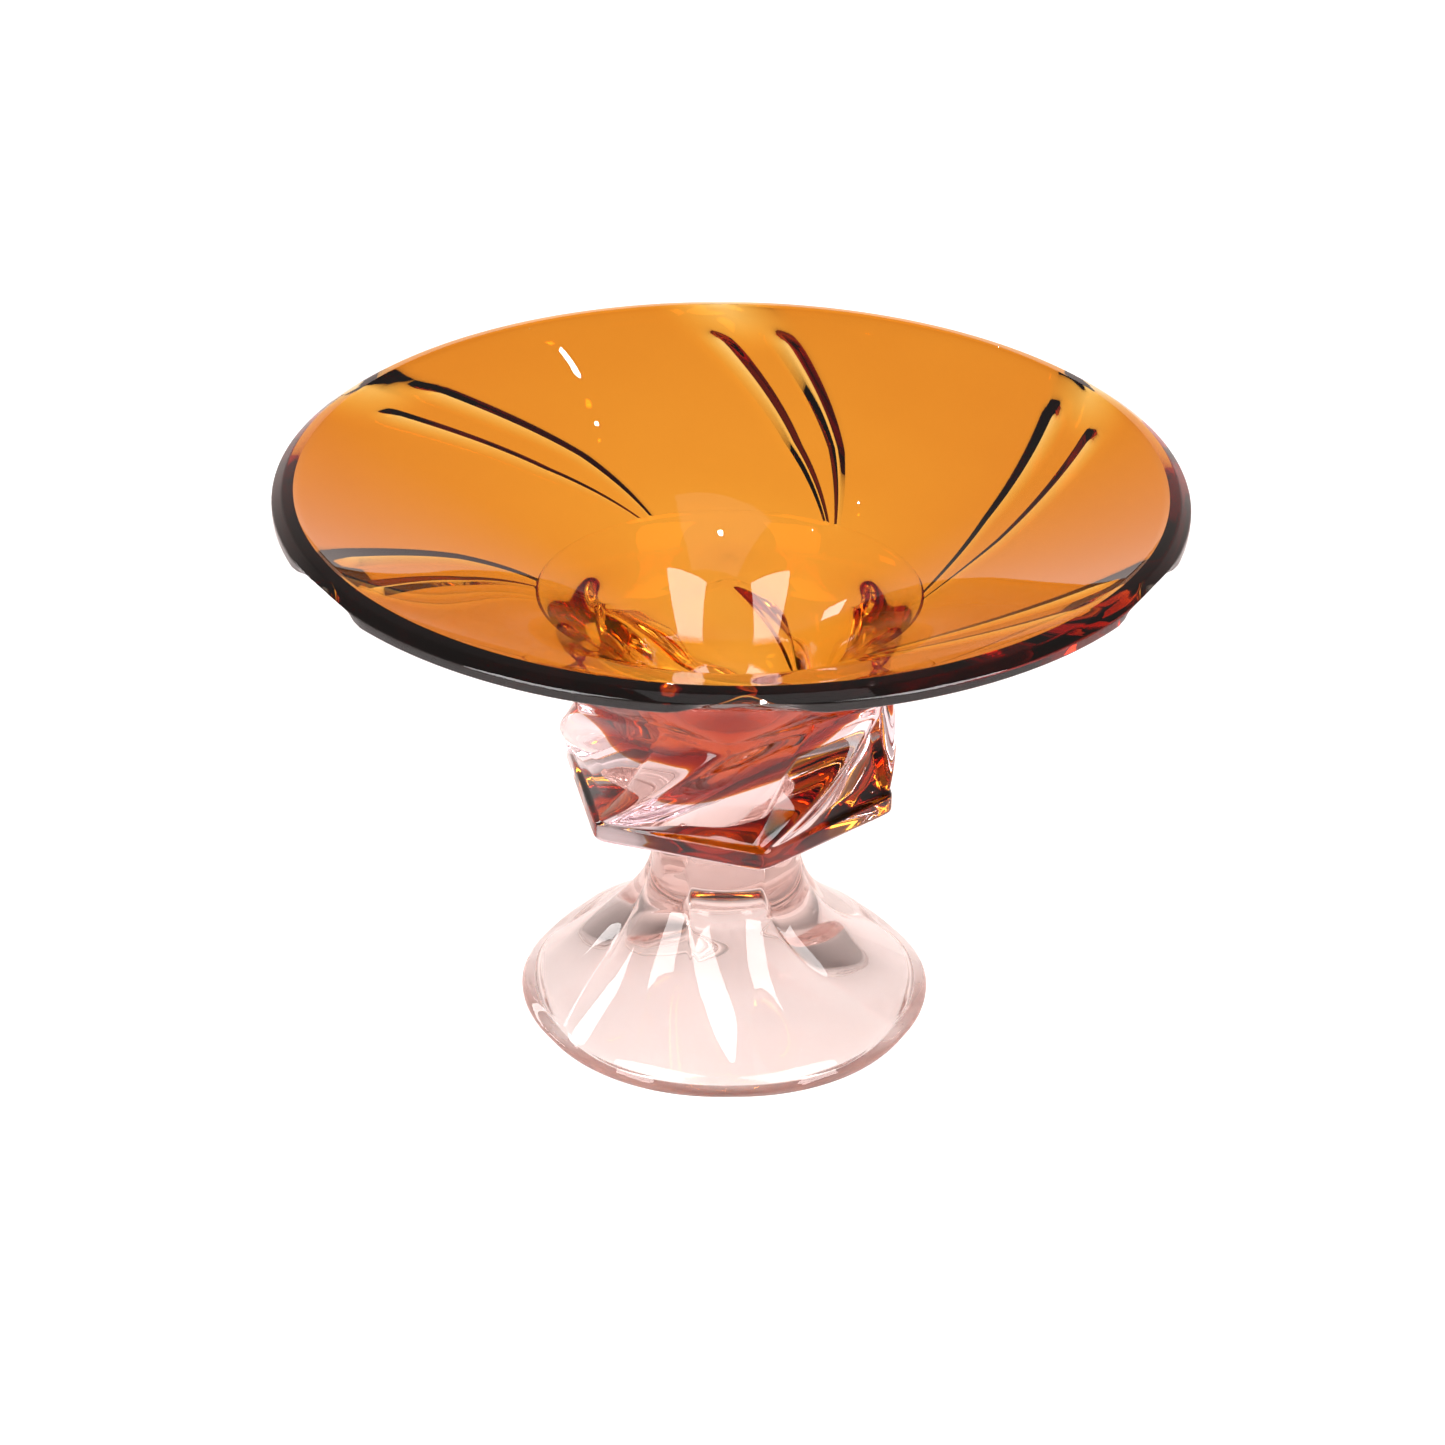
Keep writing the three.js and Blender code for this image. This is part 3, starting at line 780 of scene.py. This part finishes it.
def placed(tree, group, **values):
    """The output socket of a group placed in a material with its own values."""
    node = tree.nodes.new("ShaderNodeGroup")
    node.node_tree = group
    for label, value in values.items():
        node.inputs[label.replace("_", " ")].default_value = value
    return node.outputs[0]


def glass(name, body_colour, density, rich, wave_height, haze, ground=False):
    """Polished glass with a tinted body, waves, seeds, haze and richer cords at its surface."""
    material, tree, shader, output = new_material(name)
    shader.inputs["Transmission Weight"].default_value = 1.0
    shader.inputs["IOR"].default_value = GLASS_INDEX
    contact = tree.nodes.new("ShaderNodeAttribute")
    contact.attribute_name = "contact"
    index = tree.nodes.new("ShaderNodeMapRange")
    index.inputs["To Min"].default_value = GLASS_INDEX
    index.inputs["To Max"].default_value = FUSED_INDEX
    tree.links.new(contact.outputs["Fac"], index.inputs["Value"])
    tree.links.new(index.outputs["Result"], shader.inputs["IOR"])

    tint = tree.nodes.new("ShaderNodeMix")
    tint.data_type = "RGBA"
    tint.inputs["A"].default_value = (1, 1, 1, 1)
    tint.inputs["B"].default_value = (*rich, 1)
    tree.links.new(placed(tree, CORDS, Cords_per_Metre=9.0), tint.inputs["Factor"])
    tree.links.new(tint.outputs["Result"], shader.inputs["Base Color"])

    open_face = math_node(tree, "SUBTRACT", 1.0, contact.outputs["Fac"])
    rough = placed(tree, HAZE, Patches_per_Metre=11.0, Haze=haze)
    if ground:
        place = tree.nodes.new("ShaderNodeTexCoord")
        parts = tree.nodes.new("ShaderNodeSeparateXYZ")
        tree.links.new(place.outputs["Object"], parts.inputs["Vector"])
        above = stretch(tree, parts.outputs["Z"], GROUND_HEIGHT / 2, GROUND_HEIGHT)
        below = math_node(tree, "SUBTRACT", 1.0, above)
        frost = math_node(tree, "MULTIPLY", below, GROUND_ROUGHNESS)
        rough = math_node(tree, "MAXIMUM", rough, frost)
    tree.links.new(math_node(tree, "MULTIPLY", rough, open_face), shader.inputs["Roughness"])

    waves = placed(tree, WAVES, Waves_per_Metre=16.0, Wave_Height=wave_height)
    pits = placed(tree, PITS, Cells_per_Metre=120.0, Pit_Depth=8e-5)
    relief = math_node(tree, "MULTIPLY", math_node(tree, "ADD", waves, pits), open_face)
    bump = tree.nodes.new("ShaderNodeBump")
    bump.inputs["Strength"].default_value = 1.0
    bump.inputs["Distance"].default_value = 1.0
    tree.links.new(relief, bump.inputs["Height"])
    tree.links.new(bump.outputs["Normal"], shader.inputs["Normal"])

    body = tree.nodes.new("ShaderNodeVolumeAbsorption")
    body.inputs["Color"].default_value = (*body_colour, 1)
    body.inputs["Density"].default_value = density
    tree.links.new(body.outputs["Volume"], output.inputs["Volume"])
    return material


# %% [markdown]
# ## Four glasses
#
# The amber is dense and lets almost no blue through. The clear glass of the block leans to lilac.
# The foot's glass is tinted rose as painted shade: the tint stands in for the shaded floor under
# the foot, seen through its glass. The adhesive is the clearest. Each call gives the body colour
# and its density per metre, the colour of its richer cords, the height of its waves in metres, and
# the roughness of its haze.

# %% Materials on their pieces
AMBER_BODY = (0.925, 0.70, 0.03)
amber = glass("amber_glass", AMBER_BODY, 345.0, (0.97, 0.93, 0.84), 1.6e-4, 0.03)
crystal = glass("clear_crystal", (0.9, 0.8, 0.84), 10.0, (0.985, 0.97, 0.975), 5e-5, 0.015)
# Painted shade: the foot's rose body colour stands in for the shaded floor seen through the foot.
foot_crystal_painted_shade = glass(
    "clear_crystal_foot", (0.72, 0.46, 0.40), 10.0, (0.98, 0.95, 0.94), 1.2e-4, 0.02, ground=True
)
adhesive = glass("clear_adhesive", (0.9, 0.9, 0.85), 2.0, (0.98, 0.98, 0.96), 2e-5, 0.05)
bowl.data.materials.append(amber)
block.data.materials.append(crystal)
foot.data.materials.append(foot_crystal_painted_shade)
film.data.materials.append(adhesive)
print("materials", [material.name for material in (amber, crystal, foot_crystal_painted_shade, adhesive)])

# %% [markdown]
# ## Table
#
# The floor is a plain pale sweep. Clear glass is seen by what it bends and mirrors, and in a room
# that is a mixed, dusky world. So the floor glows white to the camera, which gives a clean ground,
# and a dusky rose to every ray that glass has turned. The choice is made by a Light Path node.

# %% Floor
scene = bpy.context.scene
FLOOR_SEEN = (0.86, 0.86, 0.86)
FLOOR_MIRRORED = (0.70, 0.57, 0.545)
floor_mesh = bpy.data.meshes.new("floor")
HALF_FLOOR = 8.0
FLOOR_DROP = -0.0003
floor_mesh.from_pydata(
    [(-HALF_FLOOR, -HALF_FLOOR, FLOOR_DROP), (HALF_FLOOR, -HALF_FLOOR, FLOOR_DROP),
     (HALF_FLOOR, HALF_FLOOR, FLOOR_DROP), (-HALF_FLOOR, HALF_FLOOR, FLOOR_DROP)],
    [], [(0, 1, 2, 3)],
)
floor = bpy.data.objects.new("floor", floor_mesh)
scene.collection.objects.link(floor)
floor_material, floor_tree, floor_shader, _ = new_material("floor")
floor_shader.inputs["Base Color"].default_value = (0.5, 0.5, 0.5, 1)
floor_shader.inputs["Roughness"].default_value = 1.0
floor_shader.inputs["Specular IOR Level"].default_value = 0.0
floor_shader.inputs["Emission Strength"].default_value = 1.0
floor_shader.inputs["Emission Color"].default_value = (1, 1, 1, 1)


def seen_or_mirrored(tree, mirrored, seen):
    """A colour that is one thing to the camera and another to every ray that glass has turned."""
    path = tree.nodes.new("ShaderNodeLightPath")
    choice = tree.nodes.new("ShaderNodeMix")
    choice.data_type = "RGBA"
    tree.links.new(path.outputs["Is Camera Ray"], choice.inputs["Factor"])
    for socket, value in ((choice.inputs["A"], mirrored), (choice.inputs["B"], seen)):
        if isinstance(value, tuple):
            socket.default_value = (*value, 1)
        else:
            tree.links.new(value, socket)
    return choice.outputs["Result"]


floor_glow = seen_or_mirrored(floor_tree, FLOOR_MIRRORED, FLOOR_SEEN)
floor_tree.links.new(floor_glow, floor_shader.inputs["Emission Color"])
floor_mesh.materials.append(floor_material)
print("floor", 2 * HALF_FLOOR, "metres across")

# %% [markdown]
# ## Sky
#
# The sky is white to the camera. To the glass it is a soft gradient, pale rose low down and a dark
# rose grey overhead, which gives the clear glass its darker outlines.

# %% Sky
SKY_SEEN = (1.0, 1.0, 1.0)
SKY_LOW = (0.95, 0.80, 0.76, 1)
SKY_HIGH = (0.26, 0.215, 0.205, 1)

world = bpy.data.worlds.new("sky")
scene.world = world
world.use_nodes = True
sky = world.node_tree
sky.nodes.clear()
sky_out = sky.nodes.new("ShaderNodeOutputWorld")
sky_light = sky.nodes.new("ShaderNodeBackground")
direction = sky.nodes.new("ShaderNodeTexCoord")
parts = sky.nodes.new("ShaderNodeSeparateXYZ")
ramp = sky.nodes.new("ShaderNodeValToRGB")
sky.links.new(direction.outputs["Generated"], parts.inputs["Vector"])
sky.links.new(parts.outputs["Z"], ramp.inputs["Fac"])
sky_colour = seen_or_mirrored(sky, ramp.outputs["Color"], SKY_SEEN)
sky.links.new(sky_colour, sky_light.inputs["Color"])
sky.links.new(sky_light.outputs["Background"], sky_out.inputs["Surface"])
ramp.color_ramp.elements[0].position = 0.1
ramp.color_ramp.elements[0].color = SKY_LOW
ramp.color_ramp.elements[1].position = 0.55
ramp.color_ramp.elements[1].color = SKY_HIGH
print("sky from", SKY_LOW[:3], "to", SKY_HIGH[:3])

# %% [markdown]
# ## Lamps
#
# Two tall soft boxes stand in front to either side and draw the two bright strips in the bowl. A
# pale window, one broad lamp overhead with a bright core, and six small lamps at the back add the
# smaller lights. A lamp's place is an azimuth from the front, an elevation and a distance.

# %% Lamps
def soft_light(name, azimuth, elevation, distance, width, height, radiance):
    """A rectangular lamp that faces the bowl; its power follows from how bright it should look."""
    a, e = math.radians(azimuth), math.radians(elevation)
    away = Vector((math.sin(a) * math.cos(e), -math.cos(a) * math.cos(e), math.sin(e)))
    lamp = bpy.data.lights.new(name, "AREA")
    lamp.shape = "RECTANGLE"
    lamp.size, lamp.size_y = width, height
    lamp.energy = radiance * math.pi * width * height
    holder = bpy.data.objects.new(name, lamp)
    scene.collection.objects.link(holder)
    holder.location = Vector((0, 0, 0.2)) + away * distance
    holder.rotation_mode = "QUATERNION"
    holder.rotation_quaternion = away.to_track_quat("Z", "Y")
    return holder


soft_light("softbox_right", 50, 31, 1.7, 0.86, 1.55, 8.0)
soft_light("softbox_left", -47, 31, 1.7, 0.86, 1.55, 8.0)
soft_light("window", -115, 20, 1.7, 0.40, 0.36, 8.0)
soft_light("umbrella", 19, 75, 1.5, 0.8, 0.8, 0.6)
soft_light("star", 19, 77, 1.45, 0.045, 0.045, 200.0)
SPOT_PLACES = [(159, 61), (152, 62), (-175, 53), (-169, 60), (-128, 58), (-98, 63)]
for number, (azimuth, elevation) in enumerate(SPOT_PLACES):
    soft_light(f"spot_{number}", azimuth, elevation, 1.6, 0.012, 0.012, 90.0)

# %% [markdown]
# ## How far light may travel
#
# Light crosses many faces of glass before it leaves such a piece, and a path that is cut short
# turns black, so the limits on bounces are raised.

# %% Light paths
scene.view_settings.view_transform = "Standard"
scene.cycles.max_bounces = 32
scene.cycles.transmission_bounces = 32
scene.cycles.glossy_bounces = 24
scene.cycles.transparent_max_bounces = 16
scene.cycles.sample_clamp_indirect = 12
